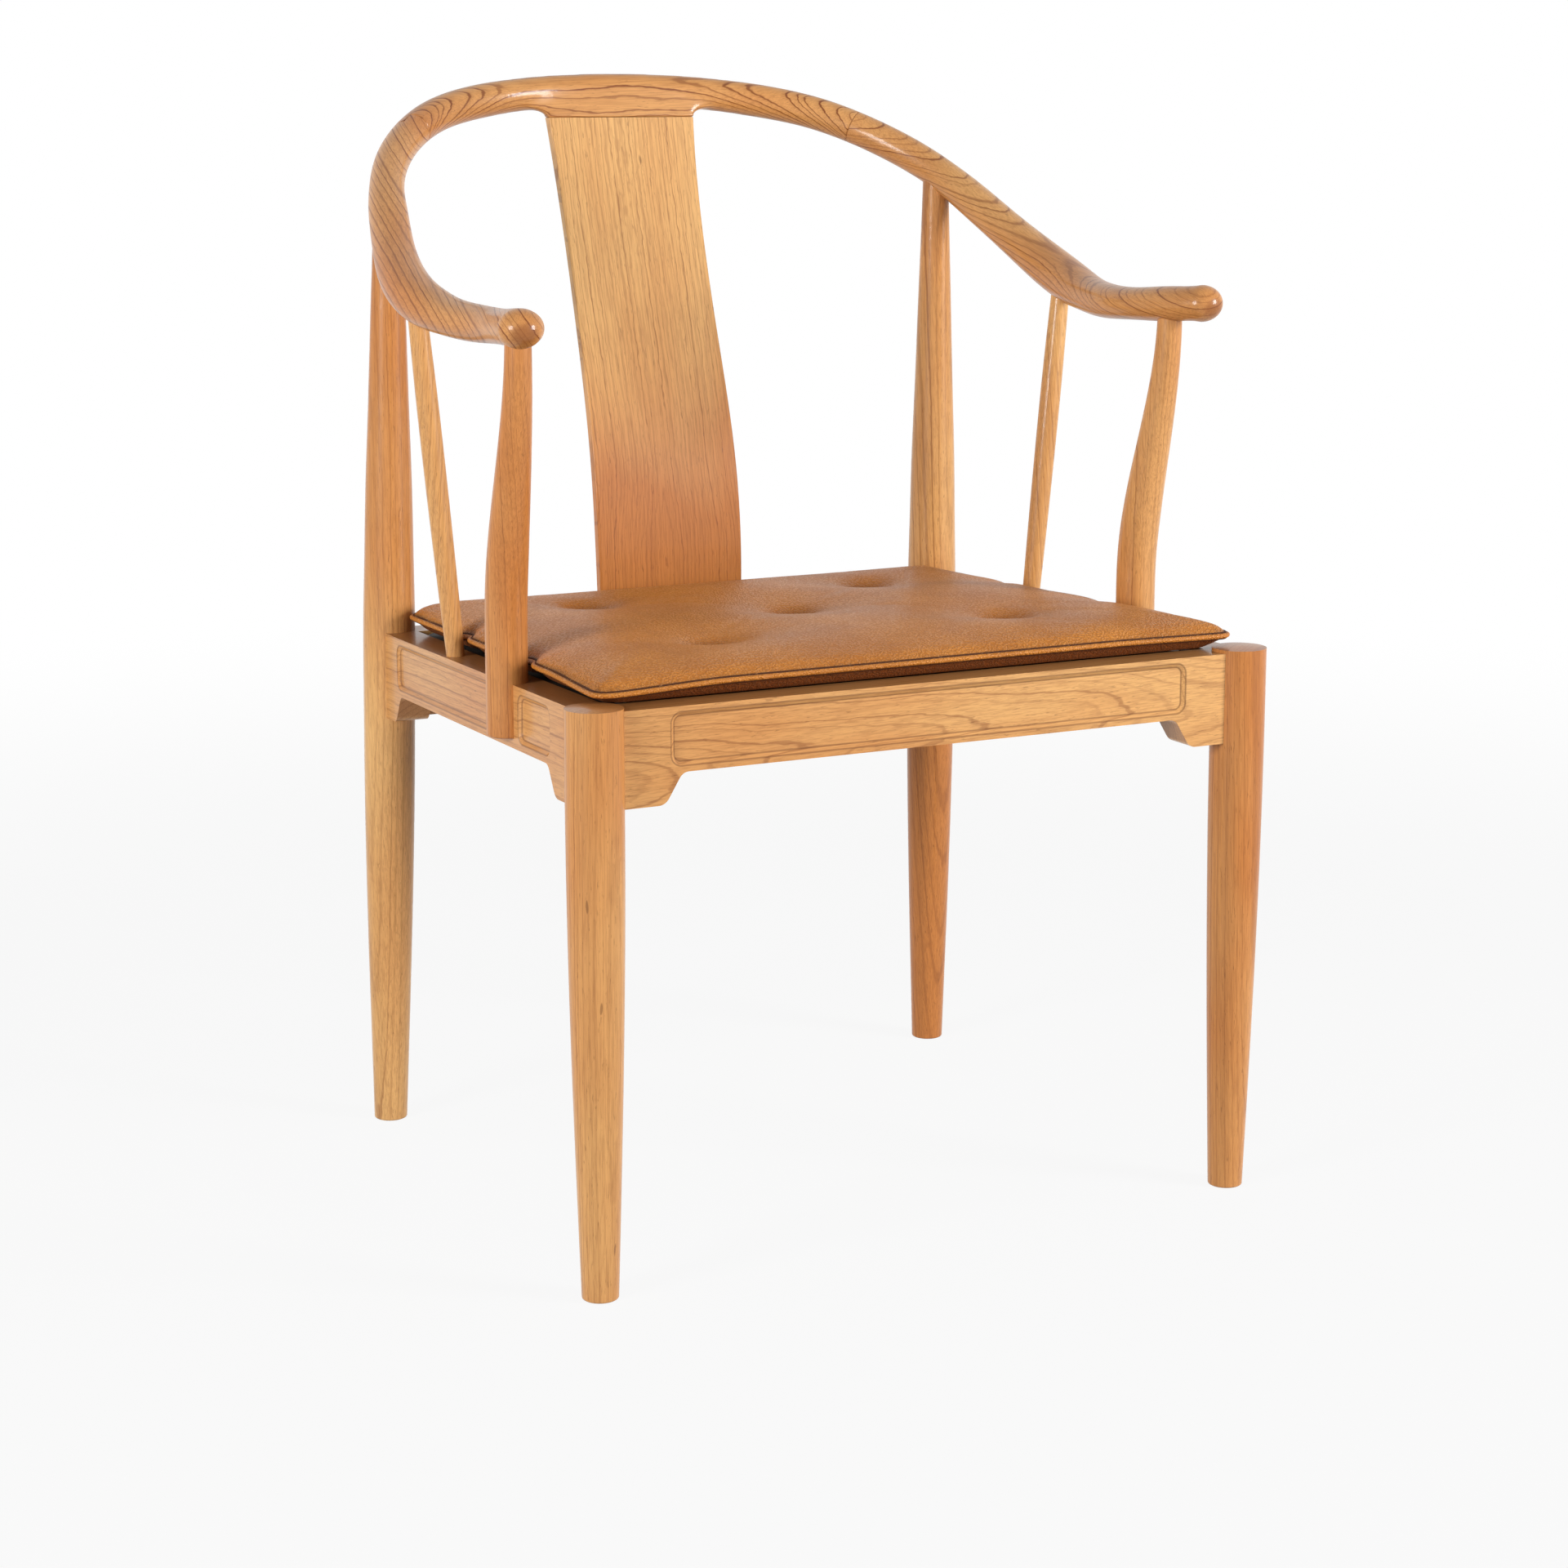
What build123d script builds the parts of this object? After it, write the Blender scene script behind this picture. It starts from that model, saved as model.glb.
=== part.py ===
# Horseshoe back armchair in solid wood, with a loose seat cushion.
# Millimetres, +Z up, floor at z = 0, front of the chair towards -Y, origin under the middle.
from build123d import *
import math
import os

os.makedirs("parts", exist_ok=True)

# ---------------------------------------------------------------- overall
overall_height = 822.0
overall_depth = 566.0
joint_clearance = 0.05
tenon_end_gap = 0.6

# ---------------------------------------------------------------- legs
leg_radius = 20.0
foot_radius = 12.8
foot_edge_round = 1.5
full_leg_height = 351.0
leg_top_rise = 3.5
leg_top_crown = 1.2
front_leg_spread = 257.0
back_foot_spread = 247.0
back_foot_rake = 18.0

# ---------------------------------------------------------------- seat frame
seat_height = 408.0
seat_fall = 11.0
rail_thickness = 26.0
rail_depth = 45.0
rail_setout = 9.0
bracket_drop = 21.5
bracket_flat_front = 47.5
bracket_flat_side = 51.0
bracket_flat_back = 38.0
bracket_run = 13.0
bracket_toe_round = 9.0
bracket_throat_round = 8.0
tenon_thickness = 8.0
tenon_offset = 1.0
tenon_tip_gap = 7.0
tenon_overlap = 4.0
tenon_shoulder = 8.0
panel_depth = 2.5
panel_bevel_angle = 50.0
panel_corner_round = 8.0
front_panel_margin = 52.0
front_panel_edge = 4.0
side_panel_edge = 5.0
side_panel_front_margin = 59.0
side_panel_back_margin = 44.0
side_panel_half_land = 22.7

# ---------------------------------------------------------------- horseshoe rail
crest_half_depth = 12.0
crest_half_height = 13.3
post_half_width = 13.0
post_half_height = 13.3
fall_half_width = 15.0
fall_half_height = 14.4
widest_half_width = 17.9
widest_half_height = 16.8
elbow_half_width = 16.8
elbow_half_height = 13.5
arm_half_width = 16.5
arm_half_height = 12.3
arm_tip_half_width = 15.5
arm_tip_half_height = 13.6
arm_tip_reach = 15.5
scarf_step = 14.0
rail_section_count = 22

# Stations on the centre line of the right half of the horseshoe rail: how far out from the
# middle, how far forward of the crest, how far below it. The forward distances are those at
# the depth named last, and stretch with the chair.
shoulder_station = (117.0, 12.5, 7.7)
bend_station = (165.0, 33.5, 18.2)
seam_station = (203.0, 64.0, 35.7)
post_station = (238.2, 114.5, 65.2)
fall_station = (257.0, 168.5, 98.4)
spindle_station = (272.0, 258.0, 143.9)
dip_station = (263.0, 324.5, 157.0)
inner_station = (257.0, 384.0, 157.8)
arm_post_station = (262.4, 426.0, 155.7)
tip_station = (272.0, 453.5, 154.2)
horseshoe_depth = 426.0

# ---------------------------------------------------------------- splat
splat_thickness = 8.5
splat_half_width_seat = 62.5
splat_half_width_low = 63.4
splat_half_width_waist = 60.5
splat_half_width_top = 64.5
splat_low_height = 83.0
splat_waist_height = 283.0
splat_edge_round = 1.5
splat_back_margin = 2.1
splat_tenon_width = 90.0
splat_tenon_thickness = 5.0
splat_tenon_length = 10.0
splat_top_lean = 0.24
tab_drop = 21.7
tab_rise = 3.4
tab_forward = 17.5
tab_back_share = 0.5
tab_cove = [(0, 0), (2, 0.8), (4, 3.2), (6, 9), (8.5, 20)]  # heights and side spreads

# ---------------------------------------------------------------- posts and spindles
post_top_radius = 10.4
post_tenon_radius = 7.0
post_tenon_length = 24.0
arm_post_setback = 143.0
arm_post_rake = 35.0
arm_post_radius = 14.9
arm_post_inset = 1.0
arm_post_top_radius = 9.1
arm_post_tenon_radius = 5.5
arm_post_tenon_length = 20.0
arm_post_upright = 32.0
arm_post_plain = 60.0
arm_post_under_arm = 8.0
arm_post_stub_radius = 5.0
arm_post_stub_length = 9.0
arm_post_stub_inset = 8.0
arm_post_section_count = 12
lap_clear_of_edge = 7.0
lap_end_round = 2.0
spindle_foot_inset = 10.0
spindle_end_radius = 6.7
spindle_waist_radius = 8.1
spindle_tenon_radius = 4.0
spindle_tenon_length = 13.0

# ---------------------------------------------------------------- seat board and blocks
board_thickness = 9.0
board_recess = 2.0
board_gap = 0.5
board_corner_cut = 16.0
block_leg = 62.0
block_height = 28.0
block_screw_along = 38.5
block_screw_seat = 16.0
block_screw_length = 34.0
board_screw_spot = 16.8
board_screw_length = 24.0
screw_radius = 2.0
screw_head_radius = 4.0
screw_head_height = 2.4
screw_head_clearance = 0.2
screw_access = 40.0

# ---------------------------------------------------------------- cushion
cushion_front_inset = 12.0
cushion_back_inset = 17.8
cushion_front_margin = 10.0
cushion_back_gap = 15.0
cushion_under_gap = 1.0
cushion_welt_height = 12.5
cushion_crown_height = 30.0
cushion_under_inset = 12.0
cushion_shoulder_inset = 8.0
cushion_crown_inset = 24.0
cushion_corner_round = 12.0
post_notch_clearance = 5.0
spindle_notch_clearance = 6.0

# ---------------------------------------------------------------- derived places
front_leg_y = leg_radius - overall_depth / 2
rail_full_depth = rail_depth + bracket_drop
crest_setback = overall_depth - leg_radius - crest_half_depth
leg_top_height = seat_height + leg_top_rise


def place(x, setback, z):
    """A point given by its distance behind the line through the front legs."""
    return Vector(x, front_leg_y + setback, z)


crest_point = place(0, crest_setback, overall_height - crest_half_height)
rail_stretch = (crest_setback - arm_post_setback + arm_post_rake) / horseshoe_depth


def station_point(station):
    """The place of a station on the horseshoe rail, which starts at the crest's middle."""
    out, forward, drop = station
    return crest_point + Vector(out, -forward * rail_stretch, -drop)


shoulder_point = station_point(shoulder_station)
bend_point = station_point(bend_station)
seam_point = station_point(seam_station)
post_point = station_point(post_station)
fall_point = station_point(fall_station)
spindle_point = station_point(spindle_station)
dip_point = station_point(dip_station)
inner_point = station_point(inner_station)
arm_post_point = station_point(arm_post_station)
tip_point = station_point(tip_station)
spindle_setback = spindle_point.Y - front_leg_y

back_foot = Vector(back_foot_spread, post_point.Y + back_foot_rake, 0)
front_leg_top = place(front_leg_spread, 0, seat_height)


def on_back_leg(height):
    """The point on the back leg's axis at a height above the floor."""
    return back_foot + (post_point - back_foot) * (height / post_point.Z)


back_leg_seat = on_back_leg(seat_height - seat_fall)
side_run = back_leg_seat - front_leg_top
side_along = side_run.normalized()
side_outward = Vector(side_run.Y, -side_run.X, 0).normalized()
side_rail_plane = Plane(front_leg_top, x_dir=side_along, z_dir=side_outward)
front_rail_plane = Plane(place(-front_leg_spread, 0, seat_height), x_dir=(1, 0, 0), z_dir=(0, -1, 0))
back_rail_plane = Plane(back_leg_seat, x_dir=(-1, 0, 0), z_dir=(0, 1, 0))
front_rail_length = 2 * front_leg_spread
side_rail_length = side_run.length
back_rail_length = 2 * back_leg_seat.X
rail_inner_reach = rail_thickness - rail_setout

seat_slope = math.degrees(math.atan2(-side_run.Z, side_run.Y))
seat_up = Vector(0, 0, 1).rotate(Axis.X, -seat_slope)
seat_plane = Plane(place(0, 0, seat_height), x_dir=(1, 0, 0), z_dir=seat_up)
splat_foot = back_leg_seat.Y + rail_setout - splat_back_margin - splat_thickness
splat_head = crest_point + Vector(0, -tab_forward, -tab_drop)


def mirrored(shape):
    return mirror(shape, about=Plane.YZ)


def write(shape, node, colour):
    shape.label = node
    shape.color = Color(*colour)
    export_step(shape, "parts/" + node + ".step")


wood = (0.76, 0.48, 0.24)
dark_board = (0.12, 0.10, 0.09)
steel = (0.72, 0.73, 0.75)
tan_leather = (0.68, 0.42, 0.24)


# ---------------------------------------------------------------- legs
def turned(radii, heights):
    """A turned solid about Z through the given radii at the given heights."""
    outline = Spline(*[(r, 0, z) for r, z in zip(radii, heights)])
    base = Line((0, 0, heights[0]), (radii[0], 0, heights[0]))
    top = Line((radii[-1], 0, heights[-1]), (0, 0, heights[-1]))
    axis_line = Line((0, 0, heights[-1]), (0, 0, heights[0]))
    return revolve(make_face([base, outline, top, axis_line]), Axis.Z)


def leg_taper(height):
    """Radius of a leg below the seat: slim at the floor, full well under the seat."""
    fullness = math.sin(math.pi / 2 * min(height / full_leg_height, 1.0))
    return foot_radius + (leg_radius - foot_radius) * fullness


def front_leg_blank():
    heights = [full_leg_height * i / 5 for i in range(6)] + [leg_top_height - leg_top_crown]
    leg = turned([leg_taper(h) for h in heights], heights)
    crown_radius = (leg_radius**2 + leg_top_crown**2) / (2 * leg_top_crown)
    ball = Pos(0, 0, leg_top_height - crown_radius) * Sphere(crown_radius)
    cap = Pos(0, 0, leg_top_height - leg_top_crown / 2) * Cylinder(leg_radius, leg_top_crown)
    leg = leg + (ball & cap)
    rims = leg.edges().filter_by(GeomType.CIRCLE).group_by(Axis.Z)
    leg = fillet(rims[0], foot_edge_round)
    return Pos(front_leg_top.X, front_leg_top.Y, 0) * leg


def back_leg_frame():
    return Plane(back_foot, x_dir=(1, 0, 0), z_dir=post_point - back_foot)


def back_leg_blank():
    """Leg and back post in one: full at the seat, slimming up to the rail it carries."""
    length = (post_point - back_foot).length
    below = [-foot_radius / 2] + [full_leg_height * i / 5 for i in range(1, 6)] + [seat_height]
    shares = [0.11, 0.3, 0.48, 0.69, 0.88, 1.0]
    slimness = [0.08, 0.22, 0.44, 0.67, 0.89, 1.0]
    above = [seat_height + (length - seat_height) * share for share in shares]
    radii = [leg_taper(max(h, 0)) for h in below]
    radii += [leg_radius - (leg_radius - post_top_radius) * slim for slim in slimness]
    leg = back_leg_frame() * turned(radii, below + above)
    leg = split(leg, Plane.XY, keep=Keep.TOP)
    foot_rim = leg.edges().group_by(Axis.Z)[0]
    return fillet(foot_rim, foot_edge_round)


# ---------------------------------------------------------------- seat rails
def bracketed_outline(length, flat_start, flat_end):
    """Side view of a seat rail: straight top, lower edge dropping to a bracket at each leg."""
    low = -rail_full_depth
    outline = Polyline(
        (0, 0),
        (length, 0),
        (length, low),
        (length - flat_end, low),
        (length - flat_end - bracket_run, -rail_depth),
        (flat_start + bracket_run, -rail_depth),
        (flat_start, low),
        (0, low),
        close=True,
    )
    face = make_face(outline)
    inner = [v for v in face.vertices() if 1 < v.X < length - 1]
    face = fillet([v for v in inner if v.Y < -rail_depth - 1], bracket_toe_round)
    throats = [v for v in face.vertices() if abs(v.Y + rail_depth) < 0.01]
    return fillet(throats, bracket_throat_round)


def rail_blank(plane, length, flat_start, flat_end):
    """A seat rail between two leg axes, before it is coped to the legs."""
    bar = extrude(bracketed_outline(length, flat_start, flat_end), rail_thickness)
    return plane * Pos(0, 0, rail_setout - rail_thickness) * bar


def tenon_box(plane, length, at_start, clearance=0.0):
    """The tenon of a rail, or its mortise when a clearance is given."""
    end_gap = tenon_end_gap if clearance else 0
    start = tenon_tip_gap - end_gap
    reach = leg_radius + tenon_overlap - start
    height = rail_full_depth - 2 * tenon_shoulder
    middle = start + reach / 2
    x = middle if at_start else length - middle
    block = Box(reach, height + 2 * clearance, tenon_thickness + 2 * clearance)
    return plane * Pos(x, -rail_full_depth / 2, -tenon_offset) * block


def sunk_panel(plane, start, end, edge):
    """A shallow panel with a bevelled edge, cut into the outer face of a rail."""
    shape = RectangleRounded(end - start, rail_depth - 2 * edge, panel_corner_round)
    cut = extrude(shape, -panel_depth, taper=panel_bevel_angle)
    return plane * Pos((start + end) / 2, -rail_depth / 2, rail_setout) * cut


# ---------------------------------------------------------------- horseshoe rail
rail_path = Spline(
    crest_point,
    shoulder_point,
    bend_point,
    seam_point,
    post_point,
    fall_point,
    spindle_point,
    dip_point,
    inner_point,
    arm_post_point,
    tip_point,
    tangents=[(1, 0, 0), (0.36, -0.93, 0.03)],
)


def share_along(point):
    """How far along the rail path a station lies, from 0 at the crest to 1 at the arm tip."""
    return rail_path.param_at_point(point)


def blend(value, start, finish):
    """0 before start, 1 past finish, with a smooth S between."""
    step = min(max((value - start) / (finish - start), 0), 1)
    return (3 - 2 * step) * step * step


# Half width and half height of the oval section at stations along the rail.
rail_sizes = [
    (0, crest_half_depth, crest_half_height),
    (share_along(post_point), post_half_width, post_half_height),
    (share_along(fall_point), fall_half_width, fall_half_height),
    (share_along(spindle_point), widest_half_width, widest_half_height),
    (share_along(dip_point), elbow_half_width, elbow_half_height),
    (share_along(inner_point), arm_half_width, arm_half_height),
    (1, arm_tip_half_width, arm_tip_half_height),
]


def rail_section(share):
    """The plane across the rail at a share of its length, with the oval's half sizes there."""
    half_width, half_height = rail_sizes[0][1:]
    for before, after in zip(rail_sizes, rail_sizes[1:]):
        step = blend(share, before[0], after[0])
        half_width += (after[1] - before[1]) * step
        half_height += (after[2] - before[2]) * step
    along = rail_path % share
    sideways = along.cross(Vector(0, 0, 1)).normalized()
    return Plane(rail_path @ share, x_dir=sideways, z_dir=along), half_width, half_height


def half_rail():
    """The right half of the horseshoe rail, from the crest middle to the rounded arm end."""
    sections = []
    for i in range(rail_section_count + 1):
        plane, half_width, half_height = rail_section(i / rail_section_count)
        sections.append(plane * Ellipse(half_width, half_height))
    dome = Sphere(1, arc_size1=0, align=(Align.CENTER, Align.CENTER, Align.MIN))
    dome = scale(dome, by=(arm_tip_half_width, arm_tip_half_height, arm_tip_reach))
    return loft(sections) + rail_section(1)[0] * dome


def scarf_tongue(half):
    """The front half of the rail just before the seam, which belongs to the arm."""
    plane, half_width, half_height = rail_section(share_along(seam_point))
    reach = 2 * half_width
    side = Pos(reach / 2, 0, -scarf_step / 2) * Box(reach, 4 * half_height, scarf_step)
    return split(half, plane, keep=Keep.BOTTOM) & (plane * side)


def right_arm_blank(half):
    plane = rail_section(share_along(seam_point))[0]
    return split(half, plane, keep=Keep.TOP) + scarf_tongue(half)


def tab_section(height, spread):
    """The tab's outline at a height above the splat: wider and deeper as it spreads."""
    front = splat_head.Y + height * splat_top_lean
    back = splat_head.Y + splat_thickness + spread * tab_back_share
    width = 2 * (splat_half_width_top + spread)
    return Pos(0, (front + back) / 2, splat_head.Z + height) * Rectangle(width, back - front)


def crest_tab():
    """The tab under the crest: as thin as the splat below, coved out into the rail above."""
    cove = loft([tab_section(*step) for step in tab_cove])
    top = tab_section(tab_drop + tab_rise, tab_cove[-1][1])
    return cove + loft([tab_section(*tab_cove[-1]), top], ruled=True)


# ---------------------------------------------------------------- splat
def splat_tenon_block(clearance, align_z):
    return Box(
        splat_tenon_width + 2 * clearance,
        splat_tenon_thickness + 2 * clearance,
        splat_tenon_length + (tenon_end_gap if clearance else 0),
        align=(Align.CENTER, Align.CENTER, align_z),
    )


def splat_top_tenon(clearance=0.0):
    lean = math.degrees(math.atan(splat_top_lean))
    middle = splat_head + Vector(0, splat_thickness / 2, 0)
    return Pos(*middle) * Rot(-lean, 0, 0) * splat_tenon_block(clearance, Align.MIN)


def splat_foot_tenon(clearance=0.0):
    return Pos(0, splat_foot + splat_thickness / 2, back_leg_seat.Z) * splat_tenon_block(clearance, Align.MAX)


def splat_body():
    """Centre board of the back: an S-curve from the side, gently waisted from the front."""
    foot = Vector(0, splat_foot, back_leg_seat.Z)
    run = splat_head - foot
    curve = [(0.1215, 0.308), (0.482, 0.592), (0.862, 0.877)]
    between = [foot + Vector(0, run.Y * back, run.Z * up) for back, up in curve]
    front = Spline(foot, *between, splat_head, tangents=[(0, 0, 1), (0, splat_top_lean, 1)])
    back = Pos(0, splat_thickness, 0) * front
    side = make_face([front, Line(front @ 1, back @ 1), back, Line(back @ 0, front @ 0)])
    slab = extrude(side, overall_depth, both=True, dir=(1, 0, 0))
    right = Spline(
        (splat_half_width_seat, foot.Z),
        (splat_half_width_low, foot.Z + splat_low_height),
        (splat_half_width_waist, foot.Z + splat_waist_height),
        (splat_half_width_top, splat_head.Z),
    )
    left = mirrored(right)
    outline = make_face([right, Line(right @ 1, left @ 1), left, Line(left @ 0, right @ 0)])
    board = slab & extrude(Plane.XZ * outline, overall_depth, both=True)
    long_edges = [edge for edge in board.edges() if edge.length > run.Z / 2]
    return fillet(long_edges, splat_edge_round)


# ---------------------------------------------------------------- posts and spindles
def side_rail_outer(setback, inset=0.0):
    """A point on the top outer edge of the right side rail, or inset from it."""
    reach = setback / side_along.Y
    return front_leg_top + side_along * reach + side_outward * (rail_setout - inset)


def peg(radius, length, clearance, align_z):
    """A round tenon, or its bore when a clearance is given."""
    deep = length + (tenon_end_gap if clearance else 0)
    return Cylinder(radius + clearance, deep, align=(Align.CENTER, Align.CENTER, align_z))


def back_post_tenon(clearance=0.0):
    """Round tenon on the back post, its tip on the rail's centre line."""
    top = (post_point - back_foot).length + (tenon_end_gap if clearance else 0)
    rod = peg(post_tenon_radius, post_tenon_length, clearance, Align.MAX)
    return back_leg_frame() * Pos(0, 0, top) * rod


def arm_post_section(height):
    """A round section of the arm post: upright at the rail, forward in an S, upright at the arm."""
    foot = side_rail_outer(arm_post_setback, arm_post_inset)
    head = arm_post_point
    bend = blend(height, seat_height + arm_post_upright, head.Z - arm_post_under_arm)
    slim = blend(height, seat_height + arm_post_plain, head.Z + arm_post_under_arm)
    centre = Vector(foot.X + (head.X - foot.X) * bend, foot.Y + (head.Y - foot.Y) * bend, height)
    return Plane(centre) * Circle(arm_post_radius + (arm_post_top_radius - arm_post_radius) * slim)


def arm_post_blank():
    lap_end = side_rail_outer(arm_post_setback).Z - rail_depth + lap_clear_of_edge
    rise = (arm_post_point.Z - lap_end) / arm_post_section_count
    post = loft([arm_post_section(lap_end + rise * i) for i in range(arm_post_section_count + 1)])
    lap_rim = post.edges().group_by(Axis.Z)[0]
    return fillet(lap_rim, lap_end_round)


def arm_post_head_tenon(clearance=0.0):
    rod = peg(arm_post_tenon_radius, arm_post_tenon_length, clearance, Align.MAX)
    return Pos(*arm_post_point) * Pos(0, 0, tenon_end_gap if clearance else 0) * rod


def arm_post_stub(clearance=0.0):
    """Stub tenon under the inner half of the arm post, let into the top of the side rail."""
    top = side_rail_outer(arm_post_setback, arm_post_stub_inset)
    root = arm_post_stub_radius
    rod = peg(arm_post_stub_radius, arm_post_stub_length + root, clearance, Align.MAX)
    return Pos(top.X, top.Y, top.Z + root) * rod


spindle_foot = side_rail_outer(spindle_setback, spindle_foot_inset)
spindle_frame = Plane(spindle_foot, x_dir=(0, 1, 0), z_dir=spindle_point - spindle_foot)
spindle_length = (spindle_point - spindle_foot).length


def spindle_blank():
    swell = spindle_waist_radius - spindle_end_radius
    shares = [-0.02, 0.25, 0.5, 0.72, 0.88, 1.0]
    fullness = [0, 0.65, 0.95, 0.9, 0.5, 0.1]
    radii = [spindle_end_radius + swell * full for full in fullness]
    return spindle_frame * turned(radii, [spindle_length * share for share in shares])


def spindle_tenons(clearance=0.0):
    """One thin core runs through the spindle and stands out at both ends as its tenons."""
    end = tenon_end_gap if clearance else 0
    rod = peg(spindle_tenon_radius, spindle_length + spindle_tenon_length + end, clearance, Align.MIN)
    return spindle_frame * Pos(0, 0, -spindle_tenon_length - end) * rod


# ---------------------------------------------------------------- seat board, blocks, screws
side_inner_front = front_leg_top - side_outward * rail_inner_reach
side_inner_back = back_leg_seat - side_outward * rail_inner_reach


def seat_half_width(run):
    """Half width between the side rails at a distance back along the seat."""
    share = run / side_run.length
    return side_inner_front.X + (side_inner_back.X - side_inner_front.X) * share


def seat_board_blank():
    front = rail_inner_reach + board_gap
    back = side_run.length - rail_inner_reach - board_gap
    cut = board_corner_cut
    right = [
        (seat_half_width(front) - board_gap - cut, front),
        (seat_half_width(front + cut) - board_gap, front + cut),
        (seat_half_width(back - cut) - board_gap, back - cut),
        (seat_half_width(back) - board_gap - cut, back),
    ]
    left = [(-x, y) for x, y in reversed(right)]
    slab = extrude(make_face(Polyline(*right, *left, close=True)), -board_thickness)
    return seat_plane * Pos(0, 0, -board_recess) * slab


def block_frame(at_front):
    """A frame at the inner corner of the seat frame, x towards the middle, y along the side rail."""
    run = rail_inner_reach if at_front else side_run.length - rail_inner_reach
    corner = seat_plane.from_local_coords((seat_half_width(run), run, -board_recess - board_thickness))
    flip = 1 if at_front else -1
    return Plane(corner, x_dir=(-1, 0, 0), z_dir=seat_up * -flip), flip


def corner_block_blank(at_front):
    """A triangular block that reaches into the rails before it is trimmed to them."""
    frame, flip = block_frame(at_front)
    over = block_leg / 10
    outline = Polyline((-over, -over), (block_leg + over, -over), (-over, block_leg + over), close=True)
    return frame * extrude(make_face(outline), flip * block_height)


def screw(length, clearance=0.0):
    """A wood screw pointing down from the seat of its head at z = 0, or its hole."""
    head_height = screw_access if clearance else screw_head_height
    head_radius = screw_head_radius + (screw_head_clearance if clearance else 0)
    below = (Align.CENTER, Align.CENTER, Align.MAX)
    above = (Align.CENTER, Align.CENTER, Align.MIN)
    shank = Cylinder(screw_radius + clearance, length + clearance, align=below)
    head = Cylinder(head_radius, head_height, align=above)
    return shank + head


def block_screws(at_front, clearance=0.0):
    """Two screws through a corner block, one into each rail."""
    frame, flip = block_frame(at_front)
    deep = flip * block_height / 2
    one = screw(block_screw_length, clearance)
    into_cross = frame * Pos(block_screw_along, block_screw_seat, deep) * Rot(-90, 0, 0) * one
    into_side = frame * Pos(block_screw_seat, block_screw_along, deep) * Rot(0, 90, 0) * one
    return [into_cross, into_side]


def board_screw(at_front, clearance=0.0):
    """A screw through the seat board, its head let in flush with the top."""
    frame, flip = block_frame(at_front)
    top = flip * (screw_head_height - board_thickness)
    turn = Rot(90 + 90 * flip, 0, 0)
    return frame * Pos(board_screw_spot, board_screw_spot, top) * turn * screw(board_screw_length, clearance)


# ---------------------------------------------------------------- cushion
def cushion_outline():
    """The cushion seen from above: it tapers with the seat and clears every post."""
    front = cushion_front_margin - rail_setout
    back = splat_foot - front_leg_y - cushion_back_gap
    front_half = side_rail_outer(front).X - cushion_front_inset
    back_half = side_rail_outer(back).X - cushion_back_inset
    corners = [(front_half, front), (back_half, back), (-back_half, back), (-front_half, front)]
    face = make_face(Polyline(*corners, close=True))
    face = fillet(face.vertices().group_by(Axis.Y)[0], cushion_corner_round)
    arm_post_foot = side_rail_outer(arm_post_setback, arm_post_inset)
    notches = [
        (arm_post_foot.X, arm_post_setback, arm_post_radius + post_notch_clearance),
        (spindle_foot.X, spindle_setback, spindle_end_radius + spindle_notch_clearance),
        (back_leg_seat.X, side_run.Y, leg_radius + post_notch_clearance),
    ]
    for x, y, radius in notches:
        for side in (1, -1):
            face = face - Pos(side * x, y) * Circle(radius)
    return face


def seat_cushion():
    """A plain stepped form: a set-back underside, the full band at the welt and a crown."""
    outline = cushion_outline()
    half_under = (cushion_welt_height - cushion_under_gap) / 2
    half_over = (cushion_crown_height - cushion_welt_height) / 2
    layers = [
        (cushion_under_inset, cushion_under_gap, half_under),
        (0, cushion_under_gap + half_under, half_under + half_over / 2),
        (cushion_shoulder_inset, cushion_welt_height + half_over / 2, half_over / 2),
        (cushion_crown_inset, cushion_welt_height + half_over, half_over),
    ]
    cushion = None
    for inset, low, height in layers:
        face = offset(outline, -inset) if inset else outline
        slab = Pos(0, 0, low) * extrude(face, height)
        cushion = slab if cushion is None else cushion + slab
    return seat_plane * cushion


# ---------------------------------------------------------------- assembly
half = half_rail()
arm_blank = right_arm_blank(half)
front_leg = front_leg_blank()
back_leg = back_leg_blank()

front_bar = rail_blank(front_rail_plane, front_rail_length, bracket_flat_front, bracket_flat_front)
back_bar = rail_blank(back_rail_plane, back_rail_length, bracket_flat_back, bracket_flat_back)
side_bar = rail_blank(side_rail_plane, side_rail_length, bracket_flat_side, bracket_flat_back)

arm_post = arm_post_blank() - side_bar - arm_blank
arm_post = arm_post + arm_post_stub() + arm_post_head_tenon()
spindle = spindle_blank() - side_bar - arm_blank + spindle_tenons()

# Rails: sunk panels, copes to the legs, butted inner corners, tenons, sockets.
front_panel_end = front_rail_length - front_panel_margin
front_rail = front_bar - sunk_panel(front_rail_plane, front_panel_margin, front_panel_end, front_panel_edge)
front_rail = front_rail - front_leg - mirrored(front_leg)
back_rail = back_bar - back_leg - mirrored(back_leg)
for at_start in (True, False):
    front_rail = front_rail + tenon_box(front_rail_plane, front_rail_length, at_start)
    back_rail = back_rail + tenon_box(back_rail_plane, back_rail_length, at_start)
back_rail = back_rail - splat_foot_tenon(joint_clearance)

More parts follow.
